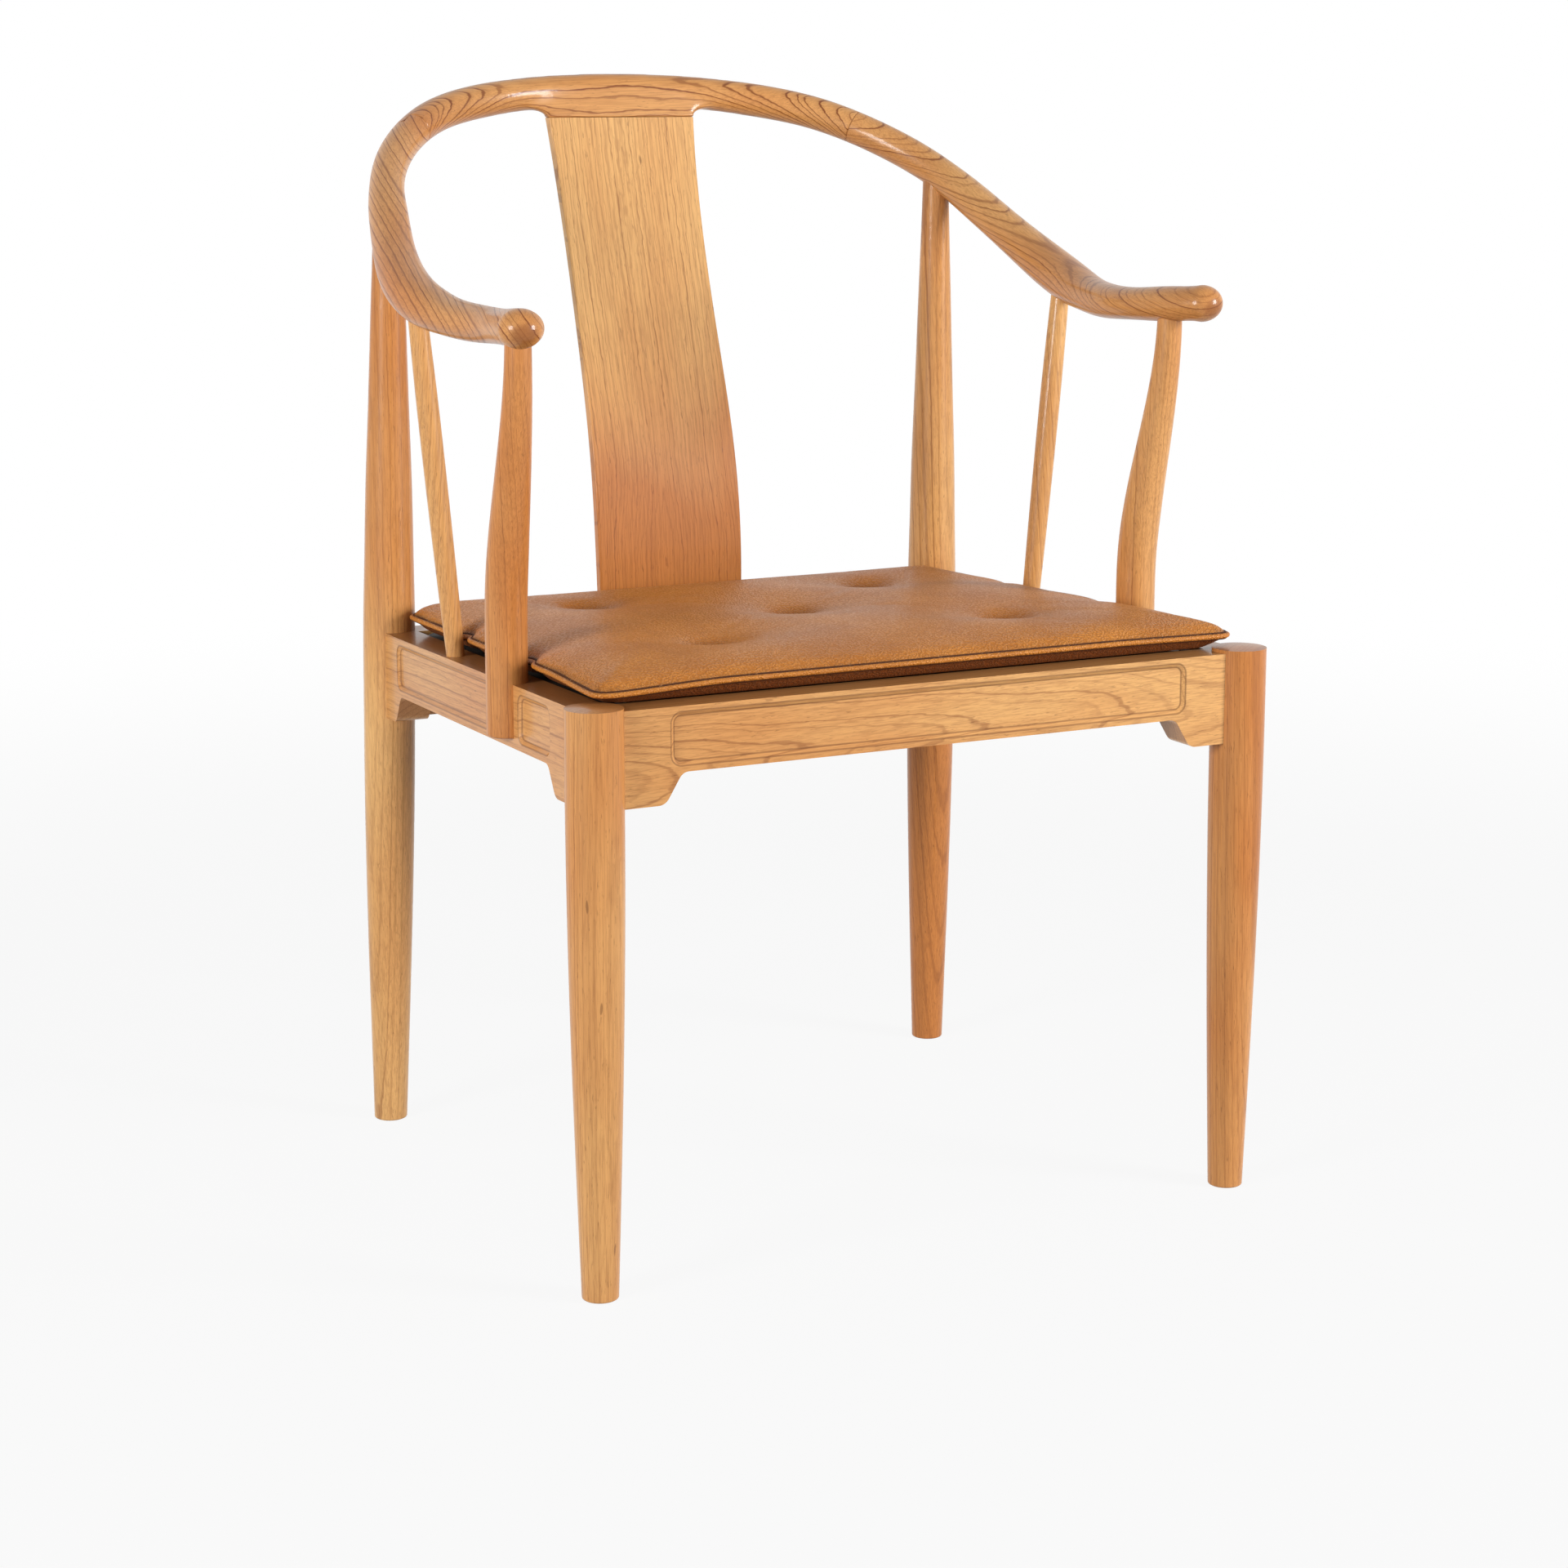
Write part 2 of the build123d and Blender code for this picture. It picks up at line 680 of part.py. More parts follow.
side_panels = [
    (side_panel_front_margin, arm_post_setback - side_panel_half_land),
    (arm_post_setback + side_panel_half_land, side_rail_length - side_panel_back_margin),
]
side_rail = side_bar
for start, end in side_panels:
    side_rail = side_rail - sunk_panel(side_rail_plane, start, end, side_panel_edge)
side_rail = side_rail - front_leg - back_leg - front_bar - back_bar
side_rail = side_rail + tenon_box(side_rail_plane, side_rail_length, True)
side_rail = side_rail + tenon_box(side_rail_plane, side_rail_length, False)
side_rail = side_rail - arm_post_stub(joint_clearance) - spindle_tenons(joint_clearance)

# Legs: mortises for two rails each; the back leg carries its round tenon into the arm.
front_leg = front_leg - tenon_box(front_rail_plane, front_rail_length, False, joint_clearance)
front_leg = front_leg - tenon_box(side_rail_plane, side_rail_length, True, joint_clearance)
back_leg = back_leg - arm_blank + back_post_tenon()
back_leg = back_leg - tenon_box(back_rail_plane, back_rail_length, True, joint_clearance)
back_leg = back_leg - tenon_box(side_rail_plane, side_rail_length, False, joint_clearance)

arm = arm_blank - back_post_tenon(joint_clearance) - spindle_tenons(joint_clearance)
arm = arm - arm_post_head_tenon(joint_clearance)

seam_plane = rail_section(share_along(seam_point))[0]
crest_half = split(half, seam_plane, keep=Keep.BOTTOM) - scarf_tongue(half)
crest = crest_half + mirrored(crest_half) + crest_tab() - splat_top_tenon(joint_clearance)
splat = splat_body() + splat_top_tenon() + splat_foot_tenon()

board = seat_board_blank()
blocks = {}
screws = []
board_screws = []
for end, at_front in (("front", True), ("back", False)):
    block = corner_block_blank(at_front) - side_bar - front_bar - back_bar
    for hole in block_screws(at_front, joint_clearance):
        block = block - hole
        side_rail = side_rail - hole
        front_rail = front_rail - hole - mirrored(hole)
        back_rail = back_rail - hole - mirrored(hole)
    hole = board_screw(at_front, joint_clearance)
    block = block - hole
    board = board - hole - mirrored(hole)
    blocks[end] = block
    for one in block_screws(at_front):
        screws += [one, mirrored(one)]
    one = board_screw(at_front)
    board_screws += [one, mirrored(one)]

# ---------------------------------------------------------------- parts
for side, turn in (("right", lambda shape: shape), ("left", mirrored)):
    write(turn(front_leg), "front_leg_" + side, wood)
    write(turn(back_leg), "back_leg_" + side, wood)
    write(turn(side_rail), "side_rail_" + side, wood)
    write(turn(arm), "arm_" + side, wood)
    write(turn(arm_post), "arm_post_" + side, wood)
    write(turn(spindle), "spindle_" + side, wood)
    for end, block in blocks.items():
        write(turn(block), "corner_block_" + end + "_" + side, wood)

write(front_rail, "front_rail", wood)
write(back_rail, "back_rail", wood)
write(crest, "crest_rail", wood)
write(splat, "splat", wood)
write(board, "seat_board", dark_board)
write(Compound(children=screws), "block_screws", steel)
write(Compound(children=board_screws), "board_screws", steel)
write(seat_cushion(), "seat_cushion", tan_leather)
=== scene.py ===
import math

import bmesh
import bpy
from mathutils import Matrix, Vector, kdtree


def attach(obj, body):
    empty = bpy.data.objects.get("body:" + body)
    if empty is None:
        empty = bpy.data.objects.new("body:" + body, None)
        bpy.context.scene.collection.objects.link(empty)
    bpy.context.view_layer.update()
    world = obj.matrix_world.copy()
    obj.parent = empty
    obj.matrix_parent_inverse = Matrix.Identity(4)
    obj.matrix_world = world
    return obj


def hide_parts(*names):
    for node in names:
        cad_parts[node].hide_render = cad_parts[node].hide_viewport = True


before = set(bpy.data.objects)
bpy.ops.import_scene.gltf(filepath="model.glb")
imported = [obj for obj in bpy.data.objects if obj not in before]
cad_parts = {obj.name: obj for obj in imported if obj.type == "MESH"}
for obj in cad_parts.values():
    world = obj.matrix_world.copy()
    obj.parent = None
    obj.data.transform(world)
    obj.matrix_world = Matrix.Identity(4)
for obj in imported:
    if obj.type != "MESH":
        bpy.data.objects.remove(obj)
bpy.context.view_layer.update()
scene = bpy.context.scene
print("frame loaded:", len(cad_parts), "nodes")


class Wire:  # one output socket, so that sums on it read as sums
    def __init__(self, finish, socket):
        self.finish = finish
        self.socket = socket

    def maths(self, operation, first, second=None):
        values = {0: first} if second is None else {0: first, 1: second}
        return self.finish.add("ShaderNodeMath", {"operation": operation}, values)["Value"]

    def __add__(self, other):
        return self.maths("ADD", self, other)

    def __radd__(self, other):
        return self.maths("ADD", other, self)

    def __sub__(self, other):
        return self.maths("SUBTRACT", self, other)

    def __rsub__(self, other):
        return self.maths("SUBTRACT", other, self)

    def __mul__(self, other):
        return self.maths("MULTIPLY", self, other)

    def __rmul__(self, other):
        return self.maths("MULTIPLY", other, self)

    def __truediv__(self, other):
        return self.maths("DIVIDE", self, other)

    def __rtruediv__(self, other):
        return self.maths("DIVIDE", other, self)

    def __pow__(self, other):
        return self.maths("POWER", self, other)

    def __rpow__(self, other):
        return self.maths("POWER", other, self)

    def fract(self):
        return self.maths("FRACT", self)

    def floor(self):
        return self.maths("FLOOR", self)

    def absolute(self):
        return self.maths("ABSOLUTE", self)


class Made:  # a node that has just been added, read by the names of its outputs
    def __init__(self, finish, node):
        self.finish = finish
        self.node = node

    def __getitem__(self, name):
        found = [s for s in self.node.outputs if s.name == name and s.enabled]
        return Wire(self.finish, found[0])


class Finish:  # a node tree under construction
    def __init__(self, owner):
        owner.use_nodes = True
        self.owner = owner
        self.tree = owner.node_tree
        self.tree.nodes.clear()

    def add(self, kind, settings=None, values=None):
        node = self.tree.nodes.new(kind)
        for key, value in (settings or {}).items():
            if key == "stops":
                ramp = node.color_ramp
                while len(ramp.elements) < len(value):
                    ramp.elements.new(0.5)
                for element, (place, grey) in zip(ramp.elements, value):
                    element.position = place
                    element.color = (grey, grey, grey, 1)
            else:
                setattr(node, key, value)
        for key, value in (values or {}).items():
            socket = node.inputs[key] if isinstance(key, int) else self.named(node, key)
            if isinstance(value, Wire):
                self.tree.links.new(value.socket, socket)
            else:
                socket.default_value = value
        return Made(self, node)

    def named(self, node, name):
        return [s for s in node.inputs if s.name == name and s.enabled][0]

    def mixColour(self, amount, first, second):
        settings = {"data_type": "RGBA", "clamp_factor": True}
        return self.add("ShaderNodeMix", settings, {"Factor": amount, "A": first, "B": second})["Result"]

    def stretch(self, place, by):
        return self.add("ShaderNodeVectorMath", {"operation": "MULTIPLY"}, {0: place, 1: by})["Vector"]

    def highest(self, first, *others):
        for other in others:
            first = first.maths("MAXIMUM", first, other)
        return first

    def noise(self, place, scale, detail=2.0, roughness=0.5):
        values = {"Vector": place, "Scale": scale, "Detail": detail, "Roughness": roughness}
        return self.add("ShaderNodeTexNoise", {"noise_dimensions": "3D"}, values)["Fac"]

    def remap(self, value, low, high, newLow=0.0, newHigh=1.0):
        settings = {"interpolation_type": "SMOOTHSTEP"}
        values = {"Value": value, "From Min": low, "From Max": high, "To Min": newLow, "To Max": newHigh}
        return self.add("ShaderNodeMapRange", settings, values)["Result"]

    def aligned(self, normal, way):  # 1 where a face looks along way, 0 where it stands across it
        values = {0: normal, 1: way}
        return self.add("ShaderNodeVectorMath", {"operation": "DOT_PRODUCT"}, values)["Value"]

    def material(self, values):  # the last two nodes, and the material they make
        shader = self.add("ShaderNodeBsdfPrincipled", {}, values)["BSDF"]
        self.add("ShaderNodeOutputMaterial", {}, {"Surface": shader})
        return self.owner


def tint(red, green, blue):  # a colour as a screen shows it, made linear
    parts = [c / 255 for c in (red, green, blue)]
    return tuple(c / 12.92 if c <= 0.04045 else ((c + 0.055) / 1.055) ** 2.4 for c in parts) + (1.0,)


cameraLook = {
    "place": (-1.0978, -2.1845, 0.8170),
    "yaw": 0.4723,
    "pitch": 0.1911,
    "lens": 74.28,
    "sensor": 36,
    "shift": -0.05,
    "nearest": 0.05,
    "farthest": 60,
}
camera = bpy.data.objects.new("camera", bpy.data.cameras.new("camera"))
camera.location = cameraLook["place"]
camera.rotation_euler = (math.pi / 2 - cameraLook["pitch"], 0, -cameraLook["yaw"])
camera.data.lens = cameraLook["lens"]
camera.data.sensor_width = cameraLook["sensor"]
camera.data.shift_y = cameraLook["shift"]
camera.data.clip_start = cameraLook["nearest"]
camera.data.clip_end = cameraLook["farthest"]
scene.collection.objects.link(camera)
scene.camera = camera
scene.view_settings.view_transform = "Standard"

lamps = {
    "leftLamp": {"place": (-3.1, -1.1, 1.20), "aim": (0, 0, 0.5), "size": 1.1, "power": 79},
    "rightLamp": {"place": (2.4, -2.6, 1.30), "aim": (0, 0, 0.5), "size": 1.1, "power": 122},
}
for name, lamp in lamps.items():
    light = bpy.data.lights.new(name, "AREA")
    light.shape = "SQUARE"
    light.size = lamp["size"]
    light.energy = lamp["power"]
    holder = bpy.data.objects.new(name, light)
    holder.location = lamp["place"]
    aim = Vector(lamp["aim"]) - holder.location
    holder.rotation_euler = aim.to_track_quat("-Z", "Y").to_euler()
    scene.collection.objects.link(holder)

stageLook = {
    "horizon": 0.50,
    "zenith": 0.12,
    "zenithFrom": 0.9,
    "paper": 0.5,
    "floorSize": 30.0,
    "floorGlow": 0.91,  # how white the floor is seen near the chair
    "fade": (0.9, 2.6),  # where it turns fully white
}


def seenDirectly(finish):  # the background as the eye, a reflection or clear glass meets it
    path = finish.add("ShaderNodeLightPath")
    return finish.highest(path["Is Camera Ray"], path["Is Glossy Ray"], path["Is Transmission Ray"])


def makeSky():
    scene.world = bpy.data.worlds.new("studio")
    sky = Finish(scene.world)
    outward = sky.add("ShaderNodeTexCoord")["Generated"]
    upward = sky.add("ShaderNodeSeparateXYZ", {}, {"Vector": outward})["Z"]
    ambient = sky.remap(upward, 0.0, stageLook["zenithFrom"], stageLook["horizon"], stageLook["zenith"])
    strength = ambient + seenDirectly(sky) * (1 - ambient)
    values = {"Color": (1, 1, 1, 1), "Strength": strength}
    light = sky.add("ShaderNodeBackground", {}, values)["Background"]
    sky.add("ShaderNodeOutputWorld", {}, {"Surface": light})


def makePaper():
    paper = Finish(bpy.data.materials.new("paper"))
    place = paper.add("ShaderNodeTexCoord")["Object"]
    away = paper.add("ShaderNodeVectorMath", {"operation": "LENGTH"}, {0: place})["Value"]
    share = seenDirectly(paper) * paper.remap(away, *stageLook["fade"], stageLook["floorGlow"], 1.0)
    grey = (stageLook["paper"],) * 3 + (1,)
    matt = paper.add("ShaderNodeBsdfDiffuse", {}, {"Color": grey})["BSDF"]
    glow = paper.add("ShaderNodeEmission", {}, {"Color": (1, 1, 1, 1), "Strength": 1.0})["Emission"]
    both = paper.add("ShaderNodeMixShader", {}, {0: share, 1: matt, 2: glow})["Shader"]
    paper.add("ShaderNodeOutputMaterial", {}, {"Surface": both})
    return paper.owner


def layFloor():
    mesh = bmesh.new()
    bmesh.ops.create_grid(mesh, x_segments=1, y_segments=1, size=stageLook["floorSize"] / 2)
    floor = bpy.data.objects.new("floor", bpy.data.meshes.new("floor"))
    mesh.to_mesh(floor.data)
    mesh.free()
    scene.collection.objects.link(floor)
    floor.data.materials.append(makePaper())


makeSky()
layFloor()
print("camera, lamps and stage set")


# cherry: every piece has its own run of grain, place in the tree and tone
woodLook = {
    "pale": tint(231, 183, 118),
    "warm": tint(196, 124, 62),
    "line": tint(124, 66, 30),
    "pore": tint(84, 44, 20),
    "mottle": 0.40,  # how much warmer the darkest cloud is than the palest
    "taper": 0.012,
    "waves": 0.22,  # how fast the wander changes along the grain
    "wander": {"scale": 11.0, "detail": 2.0, "roughness": 0.45},
    "ripple": 0.0022,
    "jag": 0.0010,
    "spread": (0.45, 1.5),  # how often the ring width changes, and by how many rings
    "season": [(0.0, 0.15), (0.06, 0.0), (0.50, 0.04), (0.76, 0.22), (0.84, 1.0), (0.94, 1.0), (1.0, 0.15)],
    "faintest": 0.34,
    "lineDepth": 0.55,
    "few": 2.2,  # how much rarer the strong lines are than the faint ones
    "endGrain": 0.60,
    "endFacing": (0.45, 0.90),
    "lidFacing": (0.80, 0.98),
    "roughness": 0.27,
    "fibreRough": 0.10,
    "lineRough": 0.06,
    "relief": {"thread": 0.35, "fibre": 0.5, "pit": 0.8},
    "pits": (0.58, 0.72),
    "bump": 0.10,
    "bumpDepth": 0.0002,
    "gloss": 0.20,
    "refraction": 1.47,
    "coat": 0.28,
    "coatRoughness": 0.10,
}
# every marking's noise: short is how much shorter it is along the grain than across. Those that show as
# lines or spots also say over which values they come up, how strongly and in which colour
markings = {
    "ripple": {"short": 0.16, "scale": 70.0, "detail": 2.0, "rough": 0.5},
    "jag": {"short": 0.26, "scale": 330.0, "detail": 1.0, "rough": 0.5},
    "cloud": {"short": 0.30, "scale": 13.0, "detail": 2.0, "rough": 0.5, "shows": (0.32, 0.68)},
    "fibre": {"short": 0.016, "scale": 560.0, "detail": 3.0, "rough": 0.65, "shows": (0.42, 0.66),
              "depth": 0.17, "shade": "line"},
    "thread": {"short": 0.030, "scale": 1250.0, "detail": 2.0, "rough": 0.6, "shows": (0.46, 0.64),
               "depth": 0.22, "shade": "line"},
    "fleck": {"short": 0.12, "scale": 900.0, "detail": 2.0, "rough": 0.6, "shows": (0.62, 0.72),
              "depth": 0.35, "shade": "pore"},
    "gum": {"short": 0.22, "scale": 150.0, "detail": 1.0, "rough": 0.4, "shows": (0.79, 0.82),
            "depth": 0.50, "shade": "pore"},
}
# for each piece the run of the grain, where the tree's heart lies, ring width, darkness and how far the
# rings wander. Some also say how deep and few the lines are (depth, few), how fast they wander (waves),
# how jagged they are (jag), how the tree tapers (taper), that the rings are flattened (flat) or arch
# between two heights (arch), how painted shade darkens the wood towards one height (dusk),
# how dark the cut ends are (endGrain), how much painted shade the upper faces take (lid),
# and where the sunk panels lie (panels), whose bevels get painted shadow lines
woodPieces = {
    "front_leg_left": {"along": (0.004, 0.0, 1), "heart": (-0.205, -0.42, 0.2), "gap": 0.0040, "tone": 0.42,
                       "sway": 0.006, "endGrain": 0.25},
    "front_leg_right": {"along": (-0.03, 0.02, 1), "heart": (0.36, -0.40, 0.1), "gap": 0.0050, "tone": 0.70,
                        "sway": 0.010, "endGrain": 0.25},
    "back_leg_left": {"along": (0.02, 0.055, 1), "heart": (-0.37, 0.13, 0.1), "gap": 0.0050, "tone": 0.10,
                      "sway": 0.008, "dusk": (0.30, 0.48, 0.66)},
    "back_leg_right": {"along": (-0.015, 0.075, 1), "heart": (0.26, 0.11, 0.1), "gap": 0.0060, "tone": 0.34,
                       "sway": 0.014, "depth": 0.62, "dusk": (0.46, 0.26, 0.90)},
    "front_rail": {"along": (1, 0.055, 0.03), "heart": (-0.12, -0.230, 0.362), "gap": 0.0034, "tone": 0.28,
                   "sway": 0.013, "depth": 0.52, "waves": 0.5, "few": 1.0, "lid": 0.35,
                   "panels": ("X", (0, -1, 0), [(0.0, 0.205, 0.0185)])},
    "back_rail": {"along": (1, -0.02, 0.03), "heart": (0.0, 0.24, 0.33), "gap": 0.0060, "tone": 0.3,
                  "sway": 0.012},
    "side_rail_left": {"along": (0.0, 1, -0.04), "heart": (-0.22, 0.0, 0.31), "gap": 0.0055, "tone": 0.45,
                       "sway": 0.010, "lid": 0.60,
                       "panels": ("Y", (-1, 0, 0), [(-0.1734, 0.0306, 0.0175), (0.0118, 0.1091, 0.0175)])},
    "side_rail_right": {"along": (0.03, 1, 0.0), "heart": (0.21, 0.0, 0.30), "gap": 0.0055, "tone": 0.4,
                        "sway": 0.012, "lid": 0.60,
                        "panels": ("Y", (1, 0, 0), [(-0.1734, 0.0306, 0.0175), (0.0118, 0.1091, 0.0175)])},
    "crest_rail": {"along": (1, 0.02, 0.03), "heart": (0.0, 0.43, 0.665), "gap": 0.0033, "tone": 0.52,
                   "sway": 0.011, "depth": 1.0, "waves": 0.7, "few": 0.4},
    "arm_left": {"along": (-0.167, -0.943, -0.287), "heart": (-0.465, -0.01, 0.525), "gap": 0.0046,
                 "tone": 0.58, "sway": 0.006, "depth": 1.0, "few": 0.8},
    "arm_right": {"along": (0.167, -0.943, -0.287), "heart": (0.315, 0.025, 0.465), "gap": 0.0042,
                  "tone": 0.40, "sway": 0.006, "depth": 0.9, "few": 0.8},
    "splat": {"along": (0.0, 0.0, 1), "heart": (-0.004, 0.10, 0.5), "gap": 0.0036, "tone": 0.0,
              "sway": 0.007, "depth": 0.68, "few": 4.0, "jag": 0.0028, "flat": 0.05, "taper": -0.012,
              "arch": (0.435, 0.520, 0.008), "dusk": (0.70, 0.41, 1.0)},
    "arm_post_left": {"along": (0.03, 0.04, 1), "heart": (-0.45, -0.04, 0.5), "gap": 0.0034, "tone": 0.60,
                      "sway": 0.006},
    "arm_post_right": {"along": (0.02, 0.06, 1), "heart": (0.45, -0.22, 0.5), "gap": 0.0038, "tone": 0.45,
                       "sway": 0.005},
    "spindle_left": {"along": (0.09, 0.02, 1), "heart": (-0.45, 0.06, 0.5), "gap": 0.0040, "tone": 0.1,
                     "sway": 0.006},
    "spindle_right": {"along": (-0.09, 0.02, 1), "heart": (0.45, -0.13, 0.5), "gap": 0.0040, "tone": 0.1,
                      "sway": 0.006},
}
for end, depth in (("front", -0.2), ("back", 0.1)):
    for side, across in (("left", -1), ("right", 1)):
        slant = across if end == "front" else -across
        block = {"along": (1, slant, 0), "heart": (0.2 * across, depth, 0.30), "gap": 0.006, "tone": 0.3,
                 "sway": 0.01}
        woodPieces["corner_block_" + end + "_" + side] = block


# the sunk panels' shared place and fall, corner radius, bevel width and how dark its edges are drawn
panelLook = {
    "middle": 0.3855,
    "start": -0.263,
    "fall": 0.0257,
    "round": 0.008,
    "bevel": 0.0030,
    "soft": (0.0002, 0.0009),
    "depth": 0.50,
    "facing": (0.2, 0.4),
}


def panelShadow(finish, ends, panels):
    # thin shadows where the bevel round a sunk panel begins and ends, each panel given by its
    # middle, half length and half height along the rail
    axis, facing, spans = panels
    place = finish.add("ShaderNodeSeparateXYZ", {}, {"Vector": ends["Object"]})
    rise = place["Z"] - panelLook["middle"] + (place["Y"] - panelLook["start"]) * panelLook["fall"]
    shadows = []
    for middle, halfLength, halfHeight in spans:
        across = (place[axis] - middle).absolute() - (halfLength - panelLook["round"])
        up = rise.absolute() - (halfHeight - panelLook["round"])
        corner = (finish.highest(across, 0.0) ** 2 + finish.highest(up, 0.0) ** 2) ** 0.5
        inside = finish.highest(0 - finish.highest(across, up), 0.0)
        rim = corner - inside - panelLook["round"]
        for inset in (0.0, panelLook["bevel"]):
            away = (rim + inset).absolute()
            shadows.append(finish.remap(away, *panelLook["soft"], panelLook["depth"], 0.0))
    outward = finish.aligned(ends["Normal"], facing)
    return finish.highest(*shadows) * finish.remap(outward, *panelLook["facing"])


def makeWood(name, piece):
    finish = Finish(bpy.data.materials.new("cherry_" + name))
    along = Vector(piece["along"]).normalized()
    turn = along.rotation_difference(Vector((0, 0, 1)))
    flat = Vector((1, piece.get("flat", 1), 1))
    shift = -(turn @ Vector(piece["heart"])) * flat
    ends = finish.add("ShaderNodeTexCoord")
    values = {"Vector": ends["Object"], "Location": shift, "Rotation": turn.to_euler(), "Scale": flat}
    grain = finish.add("ShaderNodeMapping", {"vector_type": "POINT"}, values)["Vector"]
    axes = finish.add("ShaderNodeSeparateXYZ", {}, {"Vector": grain})
    height = finish.add("ShaderNodeSeparateXYZ", {}, {"Vector": ends["Object"]})["Z"]

    def drawn(name):
        look = markings[name]
        stretched = finish.stretch(grain, (1, 1, look["short"]))
        return finish.noise(stretched, look["scale"], look["detail"], look["rough"])

    # growth rings round the heart, wandering, of uneven width and strength, jagged across the pores
    waves = piece.get("waves", woodLook["waves"])
    sway = finish.noise(finish.stretch(grain, (1, 1, waves)), **woodLook["wander"])
    wander = sway * piece["sway"] + drawn("ripple") * woodLook["ripple"]
    wander = wander + drawn("jag") * piece.get("jag", woodLook["jag"])
    if "arch" in piece:
        low, high, rise = piece["arch"]
        wander = wander + finish.remap(height, low, high, 0.0, rise)
    radius = (axes["X"] * axes["X"] + axes["Y"] * axes["Y"]) ** 0.5
    rings = (radius + axes["Z"] * piece.get("taper", woodLook["taper"]) + wander) / piece["gap"]
    often, far = woodLook["spread"]
    values = {"W": rings, "Scale": often, "Detail": 1.0}
    spread = finish.add("ShaderNodeTexNoise", {"noise_dimensions": "1D"}, values)["Fac"]
    rings = rings + spread * far
    season = finish.add("ShaderNodeValToRGB", {"stops": woodLook["season"]}, {"Fac": rings.fract()})["Color"]
    year = finish.add("ShaderNodeTexWhiteNoise", {"noise_dimensions": "1D"}, {"W": rings.floor()})["Value"]
    year = year ** piece.get("few", woodLook["few"])
    strength = woodLook["faintest"] + year * (1 - woodLook["faintest"])
    line = season * strength * piece.get("depth", woodLook["lineDepth"])

    # fibres, pores and the odd gum fleck, all drawn out along the grain
    shade = finish.remap(drawn("cloud"), *markings["cloud"]["shows"], piece["tone"],
                         woodLook["mottle"] + piece["tone"])
    # painted shade: the wood is darkened towards one end of a height range, for the shade that falls there
    if "dusk" in piece:
        high, low, most = piece["dusk"]
        shade = shade + finish.remap(height, low, high, most, 0.0)
    colour = finish.mixColour(shade, woodLook["pale"], woodLook["warm"])
    colour = finish.mixColour(line, colour, woodLook["line"])
    drawings = {name: drawn(name) for name in ("fibre", "thread", "fleck", "gum")}
    for name, drawing in drawings.items():
        look = markings[name]
        shown = finish.remap(drawing, *look["shows"], 0.0, look["depth"])
        colour = finish.mixColour(shown, colour, woodLook[look["shade"]])

    # cut ends are darker; painted shade darkens upper faces, and painted shadow lines run round the edges of
    # sunk panels
    facing = finish.aligned(ends["Normal"], along)
    endGrain = piece.get("endGrain", woodLook["endGrain"])
    endCut = finish.remap(facing * facing, *woodLook["endFacing"], 0.0, endGrain)
    colour = finish.mixColour(endCut, colour, woodLook["line"])
    # painted shade: upper faces of the rails are darkened, for the shade that falls under the cushion
    if "lid" in piece:
        upward = finish.add("ShaderNodeSeparateXYZ", {}, {"Vector": ends["Normal"]})["Z"]
        lid = finish.remap(upward, *woodLook["lidFacing"], 0.0, piece["lid"])
        colour = finish.mixColour(lid, colour, woodLook["line"])
    if "panels" in piece:
        colour = finish.mixColour(panelShadow(finish, ends, piece["panels"]), colour, woodLook["pore"])

    rough = woodLook["roughness"] + drawings["fibre"] * woodLook["fibreRough"] + line * woodLook["lineRough"]
    deep = woodLook["relief"]
    pits = finish.remap(drawings["fleck"], *woodLook["pits"])
    relief = drawings["thread"] * deep["thread"] + drawings["fibre"] * deep["fibre"] - pits * deep["pit"]
    values = {"Strength": woodLook["bump"], "Distance": woodLook["bumpDepth"], "Height": relief}
    bump = finish.add("ShaderNodeBump", {}, values)["Normal"]
    return finish.material({"Base Color": colour, "Roughness": rough, "Normal": bump,
                            "IOR": woodLook["refraction"], "Specular IOR Level": woodLook["gloss"],
                            "Coat Weight": woodLook["coat"], "Coat Roughness": woodLook["coatRoughness"]})


def dress(nodeName, material):
    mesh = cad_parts[nodeName].data
    if not mesh.materials:
        mesh.materials.append(material)
    for index in range(len(mesh.materials)):
        mesh.materials[index] = material


def settle(piece):  # swaps a piece's mesh for what its modifiers make of it
    graph = bpy.context.evaluated_depsgraph_get()
    settled = bpy.data.meshes.new_from_object(piece.evaluated_get(graph))
    piece.modifiers.clear()
    piece.data = settled


for name, piece in woodPieces.items():
    dress(name, makeWood(name, piece))
print("wood laid on", len(woodPieces), "pieces")

# the crest rail again, its tab carved to flow into the rail, a little nearer the middle each round
crestLook = {"voxel": 0.0013, "rounds": 30, "reach": 0.118, "narrowing": 0.0010, "joint": 0.7885}
sameSpot = 1e-6  # points of a loose mesh that lie closer than this are one


